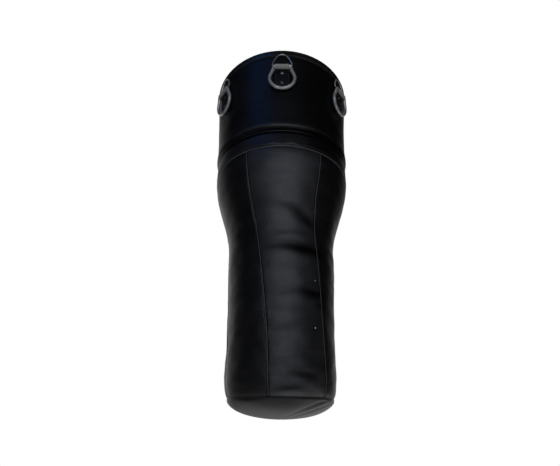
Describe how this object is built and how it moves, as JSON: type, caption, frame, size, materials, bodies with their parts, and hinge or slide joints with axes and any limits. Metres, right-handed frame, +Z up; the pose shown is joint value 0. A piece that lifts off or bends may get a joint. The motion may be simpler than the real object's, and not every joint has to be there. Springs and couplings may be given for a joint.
{
  "type": "punching bag",
  "caption": "Shaped leather heavy bag with a flared cuff, waisted panelled barrel and domed foot, hung from riveted D-rings round its rim.",
  "frame": {"origin": "on the bag's axis, level with the bars that the D-rings turn on", "axes": "+Z up along the bag's axis, -Y towards the front, which has one of the hangers, +X towards the right seen from the front"},
  "size_m": [0.4574, 0.4854, 1.047],
  "materials": {
    "black_leather": "satin",
    "binding_leather": "satin",
    "tab_leather": "satin",
    "filling": "matte",
    "foam": "matte",
    "webbing": "matte",
    "zip_tape": "matte",
    "zip_teeth": "satin",
    "zip_metal": "satin",
    "dark_steel": "satin",
    "rivet_steel": "satin"
  },
  "bodies": {
    "bag": {"filling": "filling", "foot_pad": "foam", "foot_welt": "binding_leather", "foot_cap": "black_leather", "shoulder_band": "black_leather", "upper_cuff": "black_leather", "rim_binding": "binding_leather", "top_cover": "black_leather", "zip_tape_front": "zip_tape", "zip_tape_back": "zip_tape", "zip_teeth_front": "zip_teeth", "zip_teeth_back": "zip_teeth", "lower_panel_1": "black_leather", "lower_panel_2": "black_leather", "lower_panel_3": "black_leather", "lower_panel_4": "black_leather", "lower_panel_5": "black_leather", "lower_panel_6": "black_leather", "hanger_strap_1": "webbing", "hanger_tab_1": "tab_leather", "upper_rivet_1": "rivet_steel", "lower_rivet_1": "rivet_steel", "hanger_strap_2": "webbing", "hanger_tab_2": "tab_leather", "upper_rivet_2": "rivet_steel", "lower_rivet_2": "rivet_steel", "hanger_strap_3": "webbing", "hanger_tab_3": "tab_leather", "upper_rivet_3": "rivet_steel", "lower_rivet_3": "rivet_steel", "hanger_strap_4": "webbing", "hanger_tab_4": "tab_leather", "upper_rivet_4": "rivet_steel", "lower_rivet_4": "rivet_steel", "hanger_strap_5": "webbing", "hanger_tab_5": "tab_leather", "upper_rivet_5": "rivet_steel", "lower_rivet_5": "rivet_steel", "hanger_strap_6": "webbing", "hanger_tab_6": "tab_leather", "upper_rivet_6": "rivet_steel", "lower_rivet_6": "rivet_steel"},
    "ring_1": {"d_ring_1": "dark_steel"},
    "loop_1": {"wire_loop_1": "dark_steel"},
    "ring_2": {"d_ring_2": "dark_steel"},
    "loop_2": {"wire_loop_2": "dark_steel"},
    "ring_3": {"d_ring_3": "dark_steel"},
    "loop_3": {"wire_loop_3": "dark_steel"},
    "ring_4": {"d_ring_4": "dark_steel"},
    "loop_4": {"wire_loop_4": "dark_steel"},
    "ring_5": {"d_ring_5": "dark_steel"},
    "loop_5": {"wire_loop_5": "dark_steel"},
    "ring_6": {"d_ring_6": "dark_steel"},
    "loop_6": {"wire_loop_6": "dark_steel"},
    "slider": {"zip_slider": "zip_metal", "slider_bridge": "zip_metal"},
    "pull": {"zip_pull": "zip_metal"}
  },
  "joints": [
    {"name": "ring_1_hinge", "type": "hinge", "parent": "bag", "child": "ring_1", "pos_m": [0, -0.23549, 0], "axis": [-1, 0, 0], "range_deg": [-1, 163]},
    {"name": "loop_1_hinge", "type": "hinge", "parent": "bag", "child": "loop_1", "pos_m": [0, -0.23149, 0.012], "axis": [1, 0, 0], "range_deg": [0, 25]},
    {"name": "ring_2_hinge", "type": "hinge", "parent": "bag", "child": "ring_2", "pos_m": [0.19051, -0.13842, 0], "axis": [-0.5878, -0.809, 0], "range_deg": [-1, 163]},
    {"name": "loop_2_hinge", "type": "hinge", "parent": "bag", "child": "loop_2", "pos_m": [0.18728, -0.13607, 0.012], "axis": [0.5878, 0.809, 0], "range_deg": [0, 25]},
    {"name": "ring_3_hinge", "type": "hinge", "parent": "bag", "child": "ring_3", "pos_m": [0.19051, 0.13842, 0], "axis": [0.5878, -0.809, 0], "range_deg": [-1, 163]},
    {"name": "loop_3_hinge", "type": "hinge", "parent": "bag", "child": "loop_3", "pos_m": [0.18728, 0.13607, 0.012], "axis": [-0.5878, 0.809, 0], "range_deg": [0, 25]},
    {"name": "ring_4_hinge", "type": "hinge", "parent": "bag", "child": "ring_4", "pos_m": [0, 0.23549, 0], "axis": [1, 0, 0], "range_deg": [-1, 163]},
    {"name": "loop_4_hinge", "type": "hinge", "parent": "bag", "child": "loop_4", "pos_m": [0, 0.23149, 0.012], "axis": [-1, 0, 0], "range_deg": [0, 25]},
    {"name": "ring_5_hinge", "type": "hinge", "parent": "bag", "child": "ring_5", "pos_m": [-0.19051, 0.13842, 0], "axis": [0.5878, 0.809, 0], "range_deg": [-1, 163]},
    {"name": "loop_5_hinge", "type": "hinge", "parent": "bag", "child": "loop_5", "pos_m": [-0.18728, 0.13607, 0.012], "axis": [-0.5878, -0.809, 0], "range_deg": [0, 25]},
    {"name": "ring_6_hinge", "type": "hinge", "parent": "bag", "child": "ring_6", "pos_m": [-0.19051, -0.13842, 0], "axis": [-0.5878, 0.809, 0], "range_deg": [-1, 163]},
    {"name": "loop_6_hinge", "type": "hinge", "parent": "bag", "child": "loop_6", "pos_m": [-0.18728, -0.13607, 0.012], "axis": [0.5878, -0.809, 0], "range_deg": [0, 25]},
    {"name": "zip_slide", "type": "slide", "parent": "bag", "child": "slider", "axis": [1, 0, 0], "range_m": [0, 0.268]},
    {"name": "pull_hinge", "type": "hinge", "parent": "slider", "child": "pull", "pos_m": [-0.134, 0, 0.0722], "axis": [0, 1, 0], "range_deg": [0, 175]}
  ]
}
